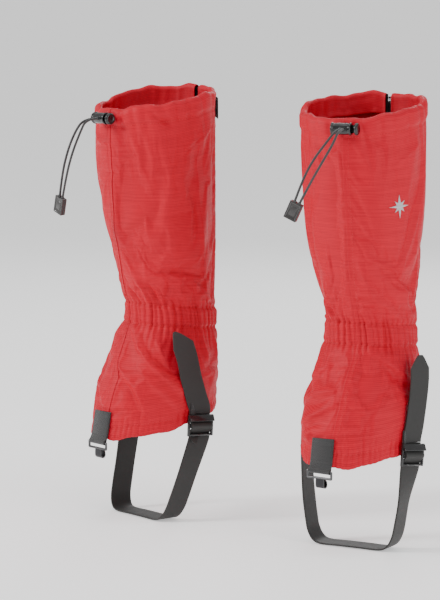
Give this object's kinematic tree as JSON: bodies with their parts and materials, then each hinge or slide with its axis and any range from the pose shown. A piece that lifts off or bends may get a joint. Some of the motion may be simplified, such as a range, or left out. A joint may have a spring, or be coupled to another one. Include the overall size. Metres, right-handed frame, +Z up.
{
  "type": "pair of mountain gaiters",
  "caption": "Knee-high nylon gaiters with a drawcord rim and barrel lock, elastic ankle, rear zip, front lace hook and a buckled instep strap.",
  "frame": {"origin": "midway between the two leg axes, level with the undersides of the instep straps", "axes": "+Z up the legs, toes towards -Y, the wearer's left towards +X"},
  "size_m": [0.4778, 0.2279, 0.5518],
  "materials": {
    "red_cloth": "plain-woven coated nylon, slight sheen",
    "red_lining": "coated back of the cloth",
    "black_webbing": "ribbed webbing",
    "black_elastic": "woven elastic",
    "black_cord": "braided elastic cord",
    "hook_loop": "hook-and-loop",
    "zip_tape": "woven zip tape",
    "zip_coil": "nylon coil",
    "strap_rubber": "matt rubberised webbing",
    "black_gloss": "glossy moulded plastic",
    "black_matt": "fine-textured moulded plastic",
    "dark_metal": "blackened steel",
    "spring_steel": "spring steel",
    "grey_thread": "embroidery thread"
  },
  "bodies": {
    "left_gaiter": {"left_outer_panel": "red_cloth", "left_inner_panel": "red_cloth", "left_draft_flap": "red_lining", "left_rim_facing": "red_lining", "left_drawcord": "black_cord", "left_ankle_elastic": "black_elastic", "left_hem_elastic": "black_elastic", "left_zip_tapes": "zip_tape", "left_zip_chain": "zip_coil", "left_zip_stops": "black_matt", "left_tab_loop_patch": "hook_loop", "left_cord_eyelet": "black_matt", "left_cord_strand_a": "black_cord", "left_cord_strand_b": "black_cord", "left_cord_end": "black_matt", "left_hook_tab": "black_webbing", "left_buckle_frame": "black_gloss", "left_buckle_loop": "black_webbing", "left_instep_strap": "strap_rubber", "left_strap_anchor": "black_webbing", "left_emblem": "grey_thread"},
    "left_cord_lock": {"left_cord_lock_body": "black_gloss", "left_cord_lock_spring": "spring_steel"},
    "left_lock_plunger": {"left_cord_lock_plunger": "black_gloss"},
    "left_lace_hook": {"left_lace_hook": "dark_metal"},
    "left_strap_tail": {"left_strap_tail": "strap_rubber"},
    "left_zip_slider": {"left_zip_slider": "dark_metal"},
    "left_zip_puller": {"left_zip_puller": "black_matt"},
    "left_closure_tab": {"left_closure_tab": "black_webbing", "left_tab_hook_patch": "hook_loop"},
    "right_gaiter": {"right_outer_panel": "red_cloth", "right_inner_panel": "red_cloth", "right_draft_flap": "red_lining", "right_rim_facing": "red_lining", "right_drawcord": "black_cord", "right_ankle_elastic": "black_elastic", "right_hem_elastic": "black_elastic", "right_zip_tapes": "zip_tape", "right_zip_chain": "zip_coil", "right_zip_stops": "black_matt", "right_tab_loop_patch": "hook_loop", "right_cord_eyelet": "black_matt", "right_cord_strand_a": "black_cord", "right_cord_strand_b": "black_cord", "right_cord_end": "black_matt", "right_hook_tab": "black_webbing", "right_buckle_frame": "black_gloss", "right_buckle_loop": "black_webbing", "right_instep_strap": "strap_rubber", "right_strap_anchor": "black_webbing", "right_emblem": "grey_thread"},
    "right_cord_lock": {"right_cord_lock_body": "black_gloss", "right_cord_lock_spring": "spring_steel"},
    "right_lock_plunger": {"right_cord_lock_plunger": "black_gloss"},
    "right_lace_hook": {"right_lace_hook": "dark_metal"},
    "right_strap_tail": {"right_strap_tail": "strap_rubber"},
    "right_zip_slider": {"right_zip_slider": "dark_metal"},
    "right_zip_puller": {"right_zip_puller": "black_matt"},
    "right_closure_tab": {"right_closure_tab": "black_webbing", "right_tab_hook_patch": "hook_loop"}
  },
  "joints": [
    {"name": "stance_width", "type": "slide", "parent": "left_gaiter", "child": "right_gaiter", "axis": [-1, 0, 0], "range_m": [-0.05, 0.2]},
    {"name": "left_cord_lock_slide", "type": "slide", "parent": "left_gaiter", "child": "left_cord_lock", "axis": [0.3669, -0.9303, 0], "range_m": [0, 0.009]},
    {"name": "left_lock_press", "type": "slide", "parent": "left_cord_lock", "child": "left_lock_plunger", "axis": [-0.9303, -0.3669, 0], "range_m": [0, 0.004], "stiffness_N_per_m": 400, "springref_m": -0.002, "deforming": ["left_cord_lock_spring"]},
    {"name": "left_lace_hook_swing", "type": "hinge", "parent": "left_gaiter", "child": "left_lace_hook", "pos_m": [0.16773, -0.08446, 0.10305], "axis": [0.9997, 0.0257, 0], "range_deg": [-50, 35]},
    {"name": "left_strap_tail_swing", "type": "hinge", "parent": "left_gaiter", "child": "left_strap_tail", "pos_m": [0.23372, 0.01231, 0.13285], "axis": [0.1476, 0.9835, -0.1045], "range_deg": [0, 65], "stiffness_Nm_per_rad": 0.03, "springref_deg": -8.59},
    {"name": "left_zip_slide", "type": "slide", "parent": "left_gaiter", "child": "left_zip_slider", "axis": [-0.0031, 0.0166, -0.9999], "range_m": [0, 0.34]},
    {"name": "left_zip_puller_swing", "type": "hinge", "parent": "left_zip_slider", "child": "left_zip_puller", "pos_m": [0.14444, 0.08855, 0.50306], "axis": [0.9833, 0.1822, 0], "range_deg": [0, 140]},
    {"name": "left_closure_tab_peel", "type": "hinge", "parent": "left_gaiter", "child": "left_closure_tab", "pos_m": [0.16503, 0.08908, 0.52377], "axis": [0, 0, -1], "range_deg": [0, 100]},
    {"name": "right_cord_lock_slide", "type": "slide", "parent": "right_gaiter", "child": "right_cord_lock", "axis": [-0.1822, -0.9833, 0], "range_m": [0, 0.009]},
    {"name": "right_lock_press", "type": "slide", "parent": "right_cord_lock", "child": "right_lock_plunger", "axis": [-0.9833, 0.1822, 0], "range_m": [0, 0.004], "stiffness_N_per_m": 400, "springref_m": -0.002, "deforming": ["right_cord_lock_spring"]},
    {"name": "right_lace_hook_swing", "type": "hinge", "parent": "right_gaiter", "child": "right_lace_hook", "pos_m": [-0.17634, -0.10356, 0.10293], "axis": [0.9833, -0.1822, 0], "range_deg": [-50, 35]},
    {"name": "right_strap_tail_swing", "type": "hinge", "parent": "right_gaiter", "child": "right_strap_tail", "pos_m": [-0.08537, -0.0103, 0.13747], "axis": [0.2981, 0.9531, -0.0523], "range_deg": [0, 65], "stiffness_Nm_per_rad": 0.03, "springref_deg": -8.59},
    {"name": "right_zip_slide", "type": "slide", "parent": "right_gaiter", "child": "right_zip_slider", "axis": [0.0031, 0.0166, -0.9999], "range_m": [0, 0.34]},
    {"name": "right_zip_puller_swing", "type": "hinge", "parent": "right_zip_slider", "child": "right_zip_puller", "pos_m": [-0.14444, 0.06855, 0.50306], "axis": [0.9833, -0.1822, 0], "range_deg": [0, 140]},
    {"name": "right_closure_tab_peel", "type": "hinge", "parent": "right_gaiter", "child": "right_closure_tab", "pos_m": [-0.16503, 0.06908, 0.52377], "axis": [0, 0, 1], "range_deg": [0, 100]}
  ]
}
